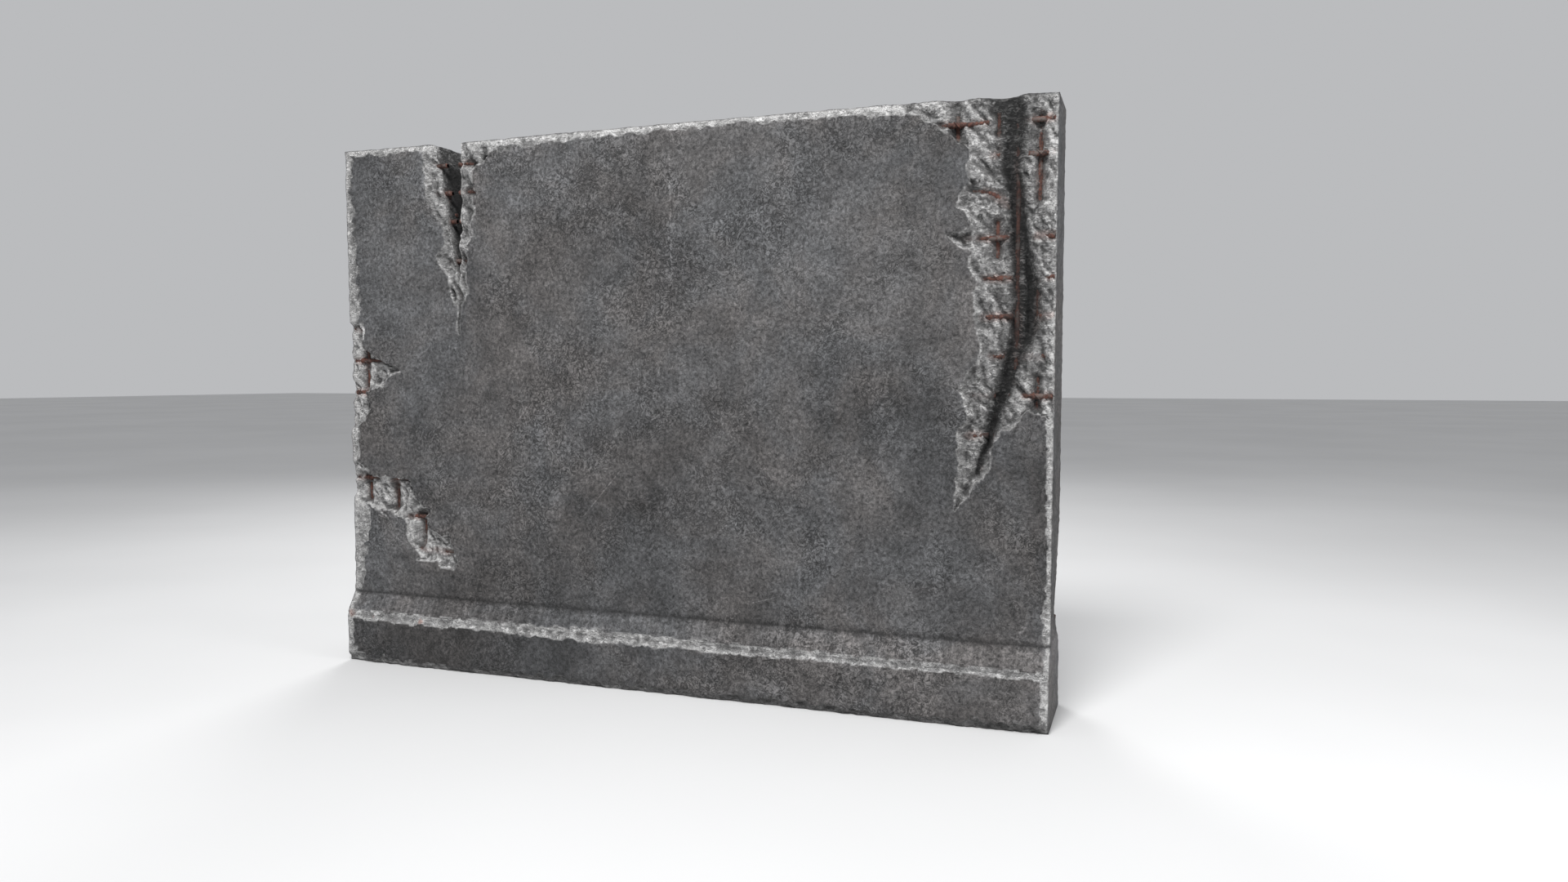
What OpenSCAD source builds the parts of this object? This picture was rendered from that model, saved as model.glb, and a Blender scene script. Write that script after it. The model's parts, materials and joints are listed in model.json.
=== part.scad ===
// Precast concrete traffic barrier with its steel cage, weathered and broken.
// Millimetres. +X runs along the barrier, +Z is up, the front faces -Y.
// The origin is on the ground at the middle of the base.

/* [Body] */
// Length from end face to end face
body_length = 1450; // [1400:10:1800]
// Height from the ground to the top
body_height = 1070; // [1050:5:1150]
// Thickness of the upright wall
wall_thickness = 150; // [140:5:180]
// Width of the toe at the ground
base_width = 200; // [200:5:280]
// Height of the upright side of the toe
toe_height = 100; // [90:5:110]
// Height of the sloping ledge above the toe
ledge_height = 45; // [40:5:50]

/* [Reinforcement] */
// Diameter of the mat bars
bar_d = 10; // [8:1:10]
// Diameter of the hairpins and toe links
link_d = 8; // [6:1:8]
// Concrete cover over the outer mat bars
cover = 15; // [12:1:20]
// Number of spaces between the upright mat bars
upright_spaces = 20; // [20:1:22]
// Distance from an end face to the first upright bar
end_margin = 30; // [28:1:34]

/* [Lifting sockets] */
// Distance from an end face to a socket, as a share of the length
socket_share = 0.25; // [0.22:0.01:0.28]
// Outer diameter of a socket
socket_d = 27; // [24:1:30]
// Core diameter of the thread in a socket
thread_core_d = 17.3; // [14:0.1:18]
// Depth of the thread in a socket
thread_depth = 45; // [35:1:48]

/* [Damage] */
// Depth at which a spall lays the outer bars bare
spall_depth = 24; // [20:1:26]
// Depth of the shallow spall round the notch
fringe_depth = 8; // [5:1:10]

/* [Hidden] */

bar_facets = 24;
spacer_facets = 72;
socket_facets = 96;
gap = 0.5;                    // concrete left between steel pieces that pass close by
past = 1;                     // how far a cutter runs past the surface it opens

wall_y = wall_thickness / 2;
toe_y = base_width / 2;
ledge_top = toe_height + ledge_height;

// The mats: lengthwise rails lie outside the upright bars.
rail_y = wall_y - cover - bar_d / 2;
upright_y = rail_y - bar_d - gap;
leg_y = upright_y - bar_d / 2 - link_d / 2 - gap;
upright_pitch = (body_length - 2 * end_margin) / upright_spaces;
top_cover = 25;
upright_low = 20;
upright_high = body_height - top_cover;
// The rails are tied by hand, so their spacing wanders.
rail_heights = [170, 240, 310, 388, 443, 500, 568, 635, 702, 767, 835, 915, 972, 1028];
rail_count = len(rail_heights);
rail_end_cover = 4;
groove_bar = 66;              // distance from the right end of the spare upright bar in the gouge
mid_rail_x = body_length / 2 - rail_end_cover;

// The notch, seen from the front: [distance from the left end, height].
notch_outline = [
    [222, body_height + past], [241, 1000], [255, 930], [265, 852], [272, 790],
    [279, 852], [280, 930], [278, body_height + past]
];
notch_left = [[790, 272], [852, 265], [930, 255], [1000, 241], [1100, 222]];
notch_right = [[790, 272], [852, 279], [930, 280], [1000, 279], [1100, 278]];
notch_floor = 790;
notch_upright = 3;            // the upright bar that the notch breaks, and the height of its end
notch_break = 980;

// The shallow spall round the notch, as [distance from the left end, height].
fringe_outline = [
    [198, body_height + past], [200, 960], [226, 935], [240, 890], [226, 845], [245, 815], [255, 770],
    [272, 742], [295, 762], [303, 800], [300, 835], [318, 870], [316, 960], [312, 1010], [345, 1045],
    [400, body_height + past]
];

// Spalls on the left edge, as [distance from the left end, height].
left_spall_outline = [
    [-past, 722], [28, 716], [38, 690], [60, 655], [100, 630], [138, 607], [100, 590], [60, 577],
    [50, 545], [44, 515], [16, 492], [-past, 480]
];
lower_spall_outline = [
    [-past, 428], [20, 420], [45, 398], [75, 390], [138, 392], [160, 356], [200, 320], [196, 298],
    [222, 272], [247, 250], [262, 212], [240, 206], [205, 222], [160, 250], [142, 258], [133, 295],
    [110, 314], [62, 324], [30, 340], [-past, 350]
];

// The spall on the right end, as [distance from the right end, height].
right_spall_outline = [
    [-past, 520], [12, 530], [28, 540], [58, 520], [90, 490], [100, 440], [123, 412], [150, 380],
    [148, 400], [145, 500], [123, 540], [130, 575], [108, 630], [130, 690], [130, 770], [148, 822],
    [186, 845], [148, 868], [163, 900], [148, 985], [186, 1015], [208, 1038], [248, 1050],
    [262, body_height + past], [-past, body_height + past]
];

// The gouge down the right spall: [height, distance from the right end, half width, depth].
gouge_stations = [
    [440, 118, 6, 22], [500, 106, 12, 30], [580, 85, 20, 42], [660, 60, 27, 52], [720, 46, 30, 56],
    [800, 54, 29, 56], [900, 65, 28, 52], [1000, 76, 32, 50], [body_height + past, 98, 46, 44]
];
gouge_low = gouge_stations[0][0];
gouge_mid_table = [for (s = gouge_stations) [s[0], s[1]]];
gouge_half_table = [for (s = gouge_stations) [s[0], s[2]]];
snapped_length = 8;           // how far a snapped bar stands out of the flank

// The bite out of the rear face at the right end.
bite_length = 250;
bite_top = 366;
bite_root = [-10, 200];       // [y, z] of its deepest point at the end face
bite_tip_low = ledge_top + 30;
bite_tip_high = bite_top - 90;

// The torn rail bends down into the gouge.
torn_rail_index = 11;
torn_start = 134;             // distance from the right end where its bend starts
torn_radius = 60;
torn_angle = 58;

// Hairpins, links, ties and spacers sit at steps counted along the upright bars.
hairpin_offset = 25;
hairpin_leg = 160;
hairpin_steps = [2:2:upright_spaces - 2];
end_hairpin_rails = [1, 3, 5, 7, 9, 11];
end_hairpin_lift = 16;
end_hairpin_leg = 190;
end_hairpin_cover = 25;
core_y = -25;
link_offset = 20.5;
link_steps = [1:3:upright_spaces - 1];
link_cover = 8;
link_bend = 10;
link_low = 26;
link_high = toe_height - 4;
tie_d = 6;
tie_offset = 10;
tie_steps = [5, 9, 13];
tie_rails = [1, 5, 9];
spacer_steps = [4, 8, 12, 16];
spacer_rails = [2, 6, 10];
spacer_width = 8;
spacer_wall = 3;
spacer_spoke = 2;
block_size = [34, 44];
block_y = 40;
block_steps = [1, 7, 13, 19];
wire_d = 1.6;
wire_slack = 0.8;
// Crossings tied with wire, as [upright bar, rail]
tied_crossings = [
    [0, 3], [0, 7], [1, 2], [2, 1], [5, 12], [10, 12], [15, 12], [18, 13], [19, 9], [20, 6], [20, 12]
];

// Lifting socket and its tail bar
socket_length = 80;
recess_depth = 10;
recess_d = 60;
recess_foot_d = 40;
socket_top = body_height - recess_depth;
tail_hole_d = 12;
tail_drop = 62;               // from the top of a socket to the tail bar's hole
tail_bend = 20;
tail_half = 60;
tail_leg = 230;

concrete_colour = "dimgray";
rust_colour = "saddlebrown";
wire_colour = "sienna";
plastic_colour = "slategray";
mortar_colour = "darkgray";
socket_colour = "darkslategray";

function upright_x(i) = -body_length / 2 + end_margin + i * upright_pitch;
function rail_z(j) = rail_heights[j];
function from_left(x) = x - body_length / 2;
function from_right(x) = body_length / 2 - x;
function gouge_mid(z) = round(lookup(z, gouge_mid_table));
function gouge_half(z) = round(lookup(z, gouge_half_table));

module bar_x(x0, x1, y, z, d)
    translate([x0, y, z]) rotate([0, 90, 0]) cylinder(d = d, h = x1 - x0, $fn = bar_facets);

module bar_y(x, y0, y1, z, d)
    translate([x, y0, z]) rotate([-90, 0, 0]) cylinder(d = d, h = y1 - y0, $fn = bar_facets);

module bar_z(x, y, z0, z1, d)
    translate([x, y, z0]) cylinder(d = d, h = z1 - z0, $fn = bar_facets);

// An arc of round bar in the XY plane, from +X towards +Y
module bend(radius, angle, d)
    rotate_extrude(angle = angle, $fn = 4 * bar_facets)
        translate([radius, 0]) circle(d = d, $fn = bar_facets);

// Two legs down from a half circle, in the YZ plane, with the legs' tops at the origin's height
module hairpin(half_width, leg, d) {
    for (side = [-1, 1]) bar_z(0, side * half_width, -leg, 0, d);
    rotate([90, 0, 90]) bend(half_width, 180, d);
}

// A face-on outline cut into the front to a depth
module front_cut(outline, depth)
    translate([0, depth - wall_y, 0]) rotate([90, 0, 0]) linear_extrude(depth + past) polygon(outline);

// ---- Concrete ----

module section()
    polygon([
        [-toe_y, 0], [toe_y, 0], [toe_y, toe_height], [wall_y, ledge_top], [wall_y, body_height],
        [-wall_y, body_height], [-wall_y, ledge_top], [-toe_y, toe_height]
    ]);

module casting()
    rotate([90, 0, 90]) linear_extrude(body_length, center = true) section();

module notch()
    translate([from_left(0), toe_y + past, 0])
        rotate([90, 0, 0]) linear_extrude(base_width + 2 * past) polygon(notch_outline);

// A trough of triangular section, lofted through the gouge's stations
module gouge() {
    points = [
        for (s = gouge_stations)
            for (p = [[-s[2], -past], [0, s[3]], [s[2], -past]])
                [from_right(s[1]) + p[0], p[1] - wall_y, s[0]]
    ];
    last = len(gouge_stations) - 1;
    sides = [
        for (i = [0:last - 1])
            for (k = [0:2])
                let (a = 3 * i + k, b = 3 * i + (k + 1) % 3)
                    each [[a, b, b + 3], [a, b + 3, a + 3]]
    ];
    ends = [[2, 1, 0], [3 * last, 3 * last + 1, 3 * last + 2]];
    polyhedron(points, [for (f = concat(sides, ends)) [f[2], f[1], f[0]]]);
}

// A wedge out of the rear lower corner that runs out along the rear face
module rear_bite() {
    end_x = body_length / 2 + past;
    tip_x = body_length / 2 - bite_length;
    outside = toe_y + past;
    points = [
        [end_x, bite_root[0], bite_root[1]], [end_x, wall_y, bite_top], [end_x, outside, bite_top],
        [end_x, outside, toe_height], [tip_x, wall_y, bite_tip_high], [tip_x, outside, bite_tip_high],
        [tip_x, outside, bite_tip_low], [tip_x, wall_y, bite_tip_low]
    ];
    polyhedron(points, [
        [0, 1, 2], [0, 2, 3], [4, 7, 6], [4, 6, 5], [0, 4, 1], [0, 7, 4],
        [1, 4, 5], [1, 5, 2], [2, 5, 6], [2, 6, 3], [0, 3, 7], [3, 6, 7]
    ]);
}

module damage() {
    notch();
    translate([from_left(0), 0, 0]) {
        front_cut(fringe_outline, fringe_depth);
        front_cut(left_spall_outline, spall_depth);
        front_cut(lower_spall_outline, spall_depth);
    }
    translate([body_length / 2, 0, 0])
        front_cut([for (p = right_spall_outline) [-p[0], p[1]]], spall_depth);
    gouge();
    rear_bite();
}

module socket_seat(x)
    translate([x, 0, 0]) {
        translate([0, 0, socket_top])
            cylinder(d1 = recess_foot_d, d2 = recess_d, h = recess_depth + 0.01, $fn = socket_facets);
        translate([0, 0, socket_top - socket_length])
            cylinder(d = socket_d, h = socket_length + past, $fn = socket_facets);
    }

module concrete_body()
    color(concrete_colour) difference() {
        casting();
        damage();
        for (side = [-1, 1]) socket_seat(side * socket_x);
        front_upright_bars();
        front_rails();
        front_torn_rail();
        rear_upright_bars();
        rear_rails();
        top_hairpins();
        left_end_hairpins();
        right_end_hairpins();
        end_core_bars();
        toe_links();
        toe_crest_bars();
        toe_base_bars();
        cross_ties();
        front_tie_wires();
        rear_tie_wires();
        front_cover_spacers();
        rear_cover_spacers();
        base_spacer_blocks();
        left_socket_tail();
        right_socket_tail();
    }

// ---- Mats ----

// The notch breaks one upright bar off short.
module upright_bars(y)
    for (i = [0:upright_spaces])
        bar_z(upright_x(i), y, upright_low, i == notch_upright ? notch_break : upright_high, bar_d);

module front_upright_bars()
    color(rust_colour) {
        upright_bars(-upright_y);
        bar_z(from_right(groove_bar), -upright_y, upright_low, upright_high, bar_d);
    }

module rear_upright_bars() color(rust_colour) upright_bars(upright_y);

// The stretches of a rail that are left where the notch breaks it
module notched_rail(j, y, x1) {
    z = rail_z(j);
    if (z > notch_floor) {
        bar_x(-mid_rail_x, from_left(round(lookup(z, notch_left))) + snapped_length, y, z, bar_d);
        bar_x(from_left(round(lookup(z, notch_right))) - snapped_length, x1, y, z, bar_d);
    } else {
        bar_x(-mid_rail_x, x1, y, z, bar_d);
    }
}

// A front rail stops at the gouge's near flank and starts again at the far one.
module front_rail(j) {
    z = rail_z(j);
    if (z > gouge_low + 2 * spall_depth) {
        near = from_right(gouge_mid(z) + gouge_half(z) - snapped_length);
        far = from_right(gouge_mid(z) - gouge_half(z) + snapped_length);
        notched_rail(j, -rail_y, near);
        bar_x(far, mid_rail_x, -rail_y, z, bar_d);
    } else {
        notched_rail(j, -rail_y, mid_rail_x);
    }
}

module front_rails()
    color(rust_colour) for (j = [0:rail_count - 1]) if (j != torn_rail_index) front_rail(j);

module rear_rails()
    color(rust_colour) for (j = [0:rail_count - 1]) notched_rail(j, rail_y, mid_rail_x);

module front_torn_rail()
    color(rust_colour) {
        notched_rail(torn_rail_index, -rail_y, from_right(torn_start));
        translate([from_right(torn_start), -rail_y, rail_z(torn_rail_index) - torn_radius])
            rotate([-90, 0, 0]) rotate(-90) bend(torn_radius, torn_angle, bar_d);
    }

// ---- Hairpins, links and ties ----

module top_hairpins()
    color(rust_colour) for (i = hairpin_steps)
        translate([upright_x(i) + hairpin_offset, 0, body_height - top_cover - upright_y])
            hairpin(upright_y, hairpin_leg, link_d);

// Hairpins laid flat at the left end, with their legs inside the upright bars
module end_hairpins()
    for (j = end_hairpin_rails)
        translate([from_left(end_hairpin_cover + leg_y), 0, rail_z(j) + end_hairpin_lift])
            rotate([0, -90, 0]) hairpin(leg_y, end_hairpin_leg, link_d);

module left_end_hairpins() color(rust_colour) end_hairpins();

module right_end_hairpins() color(rust_colour) mirror([1, 0, 0]) end_hairpins();

module end_core_bars()
    color(rust_colour) for (side = [-1, 1])
        bar_z(side * from_right(end_hairpin_cover + leg_y), core_y, upright_low, upright_high, bar_d);

link_y = toe_y - link_cover - link_d / 2;

// A closed link round the toe's four lengthwise bars
module toe_link(x) {
    straight_y = link_y - link_bend;
    for (z = [link_low, link_high]) bar_y(x, -straight_y, straight_y, z, link_d);
    for (side = [-1, 1]) {
        bar_z(x, side * link_y, link_low + link_bend, link_high - link_bend, link_d);
        translate([x, side * straight_y, link_high - link_bend])
            rotate([90, 0, 90]) rotate(side > 0 ? 0 : 90) bend(link_bend, 90, link_d);
        translate([x, side * straight_y, link_low + link_bend])
            rotate([90, 0, 90]) rotate(side > 0 ? -90 : 180) bend(link_bend, 90, link_d);
    }
}

module toe_links()
    color(rust_colour) for (i = link_steps) toe_link(upright_x(i) + link_offset);

module toe_bars(z)
    for (side = [-1, 1]) bar_x(-mid_rail_x, mid_rail_x, side * (link_y - link_bend), z, bar_d);

module toe_crest_bars() color(rust_colour) toe_bars(link_high - link_bend);

module toe_base_bars() color(rust_colour) toe_bars(link_low + link_bend);

// A straight tie that hooks over a front rail and a rear rail
module cross_tie(x, z) {
    hook = bar_d / 2 + tie_d / 2 + gap;
    bar_y(x, -rail_y, rail_y, z + hook, tie_d);
    translate([x, rail_y, z]) rotate([90, 0, 90]) rotate(-90) bend(hook, 180, tie_d);
    translate([x, -rail_y, z]) rotate([90, 0, 90]) rotate(90) bend(hook, 180, tie_d);
}

module cross_ties()
    color(rust_colour) for (i = tie_steps) for (j = tie_rails)
        cross_tie(upright_x(i) + tie_offset, rail_z(j));

// A loop of wire slantwise round one crossing of a rail and an upright bar on the front
module tie_wire(i, j) {
    wide = bar_d / 2 / cos(45) + wire_d / 2 + wire_slack;
    outer = rail_y + bar_d / 2 + wire_d - wide;
    inner = upright_y - bar_d / 2 - wire_d + wide;
    translate([upright_x(i), 0, rail_z(j)]) rotate([0, 45, 0]) {
        for (side = [-1, 1]) bar_y(side * wide, -outer, -inner, 0, wire_d);
        translate([0, -outer, 0]) rotate(180) bend(wide, 180, wire_d);
        translate([0, -inner, 0]) bend(wide, 180, wire_d);
    }
}

module front_tie_wires() color(wire_colour) for (c = tied_crossings) tie_wire(c[0], c[1]);

module rear_tie_wires() color(wire_colour) mirror([0, 1, 0]) for (c = tied_crossings) tie_wire(c[0], c[1]);

// ---- Spacers ----

// A plastic wheel that snaps on a rail and holds it off the mould
module cover_spacer(x, z) {
    hub = bar_d / 2 + spacer_wall;
    rim = cover + bar_d / 2 - gap;
    translate([x, rail_y, z]) rotate([0, 90, 0]) linear_extrude(spacer_width, center = true) difference() {
        union() {
            difference() {
                circle(rim, $fn = spacer_facets);
                circle(rim - spacer_wall, $fn = spacer_facets);
            }
            circle(hub, $fn = spacer_facets);
            for (turn = [0:90:270])
                rotate(turn) translate([hub - 1, -spacer_spoke / 2]) square([rim - hub - 1, spacer_spoke]);
        }
        circle(bar_d / 2, $fn = bar_facets);
        translate([-rim - 1, -bar_d / 4]) square([rim + 1, bar_d / 2]);
    }
}

module rear_cover_spacers()
    color(plastic_colour) for (i = spacer_steps) for (j = spacer_rails)
        cover_spacer(upright_x(i) + upright_pitch / 2, rail_z(j));

module front_cover_spacers() color(plastic_colour) mirror([0, 1, 0]) rear_cover_spacers();

module base_spacer_blocks()
    color(mortar_colour) for (i = block_steps) for (side = [-1, 1])
        translate([upright_x(i) + link_offset - block_size[0] / 2, side * block_y - block_size[1] / 2, 0])
            cube([block_size[0], block_size[1], link_low - link_d / 2]);

// ---- Lifting sockets ----

socket_x = body_length / 2 - socket_share * body_length;

module lifting_socket(x)
    translate([x, 0, socket_top - socket_length]) difference() {
        cylinder(d = socket_d, h = socket_length, $fn = socket_facets);
        translate([0, 0, socket_length - thread_depth])
            cylinder(d = thread_core_d, h = thread_depth + past, $fn = socket_facets);
        translate([0, 0, socket_length - tail_drop]) rotate([0, 90, 0])
            cylinder(d = tail_hole_d, h = 2 * socket_d, center = true, $fn = socket_facets);
    }

module left_lifting_socket() color(socket_colour) lifting_socket(-socket_x);

module right_lifting_socket() color(socket_colour) lifting_socket(socket_x);

// A bar through the socket's cross hole, bent down on both sides
module socket_tail(x)
    translate([x, 0, socket_top - tail_drop]) {
        bar_x(tail_bend - tail_half, tail_half - tail_bend, 0, 0, bar_d);
        for (side = [-1, 1]) {
            bar_z(side * tail_half, 0, -tail_leg, -tail_bend, bar_d);
            translate([side * (tail_half - tail_bend), 0, -tail_bend])
                rotate([90, 0, 0]) rotate(side > 0 ? 0 : 90) bend(tail_bend, 90, bar_d);
        }
    }

module left_socket_tail() color(rust_colour) socket_tail(-socket_x);

module right_socket_tail() color(rust_colour) socket_tail(socket_x);

concrete_body();
front_upright_bars();
front_rails();
front_torn_rail();
rear_upright_bars();
rear_rails();
top_hairpins();
left_end_hairpins();
right_end_hairpins();
end_core_bars();
toe_links();
toe_crest_bars();
toe_base_bars();
cross_ties();
front_tie_wires();
rear_tie_wires();
front_cover_spacers();
rear_cover_spacers();
base_spacer_blocks();
left_lifting_socket();
right_lifting_socket();
left_socket_tail();
right_socket_tail();
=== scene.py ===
"""The looks of a broken, weathered concrete barrier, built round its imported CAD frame.

Metres in Blender. The damage is laid out in millimetres on the barrier's faces: u runs from the left
end along the length, v runs up from the ground, and a depth is measured in from the face.
"""

import json
import math

import bpy
import numpy as np
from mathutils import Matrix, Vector, bvhtree


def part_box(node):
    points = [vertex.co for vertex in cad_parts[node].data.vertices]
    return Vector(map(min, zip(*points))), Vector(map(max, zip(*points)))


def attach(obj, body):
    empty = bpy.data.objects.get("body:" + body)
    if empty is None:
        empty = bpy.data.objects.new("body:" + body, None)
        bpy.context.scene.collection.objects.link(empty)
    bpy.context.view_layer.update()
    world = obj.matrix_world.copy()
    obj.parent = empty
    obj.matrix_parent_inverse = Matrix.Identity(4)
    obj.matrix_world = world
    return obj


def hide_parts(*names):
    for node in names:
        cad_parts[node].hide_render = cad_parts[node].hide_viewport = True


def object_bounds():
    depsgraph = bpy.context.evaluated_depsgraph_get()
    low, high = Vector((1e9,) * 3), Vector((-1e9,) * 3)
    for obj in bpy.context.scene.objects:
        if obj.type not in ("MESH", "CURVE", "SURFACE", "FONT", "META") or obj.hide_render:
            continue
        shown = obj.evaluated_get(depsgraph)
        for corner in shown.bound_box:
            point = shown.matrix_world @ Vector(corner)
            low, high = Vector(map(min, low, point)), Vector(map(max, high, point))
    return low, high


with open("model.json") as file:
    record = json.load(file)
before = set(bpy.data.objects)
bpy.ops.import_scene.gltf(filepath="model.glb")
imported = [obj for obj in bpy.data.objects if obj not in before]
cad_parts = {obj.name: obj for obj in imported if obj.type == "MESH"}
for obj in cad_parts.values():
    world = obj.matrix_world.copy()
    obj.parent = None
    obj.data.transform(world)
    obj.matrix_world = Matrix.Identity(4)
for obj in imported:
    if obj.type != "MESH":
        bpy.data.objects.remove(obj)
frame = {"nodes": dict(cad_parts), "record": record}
cad_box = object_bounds()

MM = 0.001
ROOT = "root"
LENGTH, WIDTH, HEIGHT = ((high - low) / MM for low, high in zip(*cad_box))
WALL = 75.0                # half of the wall's thickness
TOE = WIDTH / 2
TOE_TOP = 100.0            # top of the toe's upright side
LEDGE_TOP = 145.0          # where the ledge meets the wall
SOCKETS = ("left_lifting_socket", "right_lifting_socket")
FINE = 3.0     # spacing of the casting's grid where it is detailed
MAX_TRIANGLES = 195_000               # of the finished casting

# ---------------------------------------------------------------- damage, in millimetres on the faces

RIGHT_SPALL = [
    (1150, 1090), (1160, 1062), (1180, 1056), (1210, 1048), (1230, 1035), (1250, 1022), (1270, 1010),
    (1285, 998), (1300, 985), (1305, 970), (1300, 955), (1298, 925), (1283, 890), (1300, 875), (1310, 862),
    (1290, 850), (1258, 845), (1275, 830), (1300, 820), (1310, 812), (1302, 800), (1305, 785), (1325, 760),
    (1312, 740), (1315, 690), (1328, 650), (1318, 620), (1298, 600), (1286, 580), (1300, 560), (1304, 530),
    (1288, 510), (1290, 440), (1286, 400), (1278, 362), (1312, 398), (1325, 425), (1345, 440), (1350, 460),
    (1342, 480), (1360, 490), (1365, 505), (1385, 515), (1405, 540), (1425, 540), (1440, 522), (1450, 500),
    (1480, 490), (1480, 1090),
]
NOTCH_FRINGE = [
    (195, 1090), (200, 960), (225, 930), (240, 900), (245, 870), (222, 845), (246, 805), (252, 775),
    (264, 748), (286, 742), (304, 765), (300, 790), (298, 820), (300, 860), (318, 880), (312, 900),
    (318, 930), (316, 960), (318, 1000), (322, 1018), (345, 1023), (354, 1038), (372, 1054), (390, 1090),
]
LEFT_SPALL = [
    (-30, 722), (28, 716), (34, 690), (42, 660), (70, 640), (100, 625), (134, 609), (110, 600), (90, 585),
    (60, 575), (40, 568), (52, 550), (54, 540), (45, 520), (30, 505), (10, 490), (-30, 480),
]
LOWER_SPALL = [
    (-30, 430), (15, 425), (30, 415), (60, 396), (100, 389), (130, 394), (146, 386), (160, 356), (180, 336),
    (202, 322), (190, 310), (205, 286), (225, 270), (243, 284), (255, 250), (263, 222), (258, 206),
    (222, 206), (214, 218), (156, 217), (172, 226), (150, 250), (140, 270), (135, 300), (115, 312),
    (100, 320), (70, 323), (40, 331), (-30, 345),
]
NOTCH = [
    (222, 1110), (222, 1070), (237, 1000), (248, 950), (256, 910), (262, 870), (267, 830), (275, 785),
    (277, 815), (280, 850), (280, 900), (279, 950), (277, 1070), (277, 1110),
]
# The gouge: height, centre, half width, depth
GOUGE = [
    (430, 1320, 4, 12), (500, 1342, 10, 19), (530, 1350, 13, 22), (570, 1362, 16, 26), (630, 1380, 19, 30),
    (680, 1398, 27, 35), (740, 1401, 27, 37), (770, 1397, 23, 37), (820, 1388, 19, 35), (870, 1384, 17, 33),
    (910, 1380, 18, 31), (950, 1373, 20, 27), (1000, 1376, 24, 24), (1040, 1374, 29, 26),
    (1080, 1352, 46, 31),
]
# The spare upright bar in the gouge: its place along the front, and half the width that it keeps filled
GOUGE_BAR, GOUGE_BAR_SEAT = 1384.0, 11.0
# Widths of the crumbled strips along the edges: distance along the edge, width
LEFT_STRIP = [
    (0, 20), (90, 22), (110, 18), (150, 18), (200, 34), (320, 38), (350, 26), (430, 30), (470, 22),
    (500, 24), (720, 36), (800, 33), (870, 27), (950, 22), (1070, 20),
]
RIGHT_STRIP = [
    (0, 16), (100, 13), (140, 9), (170, 12), (200, 11), (260, 8), (360, 10), (450, 12), (540, 10), (1070, 8),
]
TOP_STRIP = [
    (0, 12), (150, 12), (210, 15), (280, 26), (330, 30), (400, 22), (520, 15), (700, 12), (1000, 13),
    (1150, 18), (1450, 12),
]
BOTTOM_STRIP = [(0, 22), (60, 15), (400, 13), (900, 15), (1300, 13), (1450, 26)]
CREST_STRIP = [(0, 9), (60, 7), (300, 8), (560, 9), (700, 8), (900, 7), (1100, 6), (1300, 5), (1450, 6)]
# The bite out of the rear face at the right end: height, depth
BITE = [(103, 0), (135, 10), (169, 56), (190, 85), (204, 85), (262, 53), (366, 0)]
BITE_LENGTH = 250.0
# Stretches of bar laid bare, u0, v0, u1, v1, and how deep the crowns of the rails and the uprights lie
RAIL_CROWN, UPRIGHT_CROWN = 15.0, 25.5
BARED_RAILS = [
    (0, 767, 18, 767), (0, 702, 20, 702), (4, 635, 95, 635), (0, 568, 34, 568), (0, 388, 58, 388),
    (104, 388, 136, 388), (0, 310, 24, 310), (142, 310, 186, 310), (0, 240, 20, 240), (226, 240, 246, 240),
    (283, 1028, 342, 1028), (296, 972, 306, 972), (288, 835, 300, 835), (246, 767, 256, 767),
    (1254, 1028, 1322, 1028), (1400, 1028, 1442, 1028), (1404, 915, 1440, 915), (1312, 915, 1372, 906),
    (1322, 835, 1358, 835), (1332, 767, 1360, 767), (1338, 702, 1362, 702), (1400, 568, 1442, 568),
    (1418, 500, 1438, 500),
]
BARED_UPRIGHTS = [
    (30, 585, 30, 690), (30, 345, 30, 380), (99.5, 330, 99.5, 372), (169, 258, 169, 308),
    (1281, 1006, 1281, 1062), (1350.5, 1012, 1350.5, 1056), (1350.5, 806, 1350.5, 862),
    (1420, 900, 1420, 1034), (1420, 552, 1420, 596),
]
# Hairline cracks: points, half width, depth
CRACKS = [
    ([(276, 792), (277, 765), (279, 740), (276, 715), (279, 690)], 4.2, 7.0),
    ([(0, 345), (42, 331), (70, 320), (100, 300)], 2.6, 3.0),
]
# Pale scratches on the front: two ends and a width
SCRATCHES = [
    ((748, 1010), (752, 790), 2.2), ((712, 560), (730, 640), 1.6), ((262, 640), (280, 700), 2.4),
    ((560, 330), (640, 420), 1.6), ((380, 470), (450, 560), 1.4), ((900, 180), (985, 205), 1.6),
    ((1040, 905), (1060, 760), 1.5), ((480, 860), (498, 790), 1.5), ((830, 300), (905, 362), 1.4),
    ((1396, 160), (1408, 184), 8.0),
]
# Rust spots along the toe's crest on the front: place along the length, height and radius
STAINS = [(9, 104, 13), (62, 99, 7), (188, 98, 8), (1010, 101, 6)]


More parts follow.
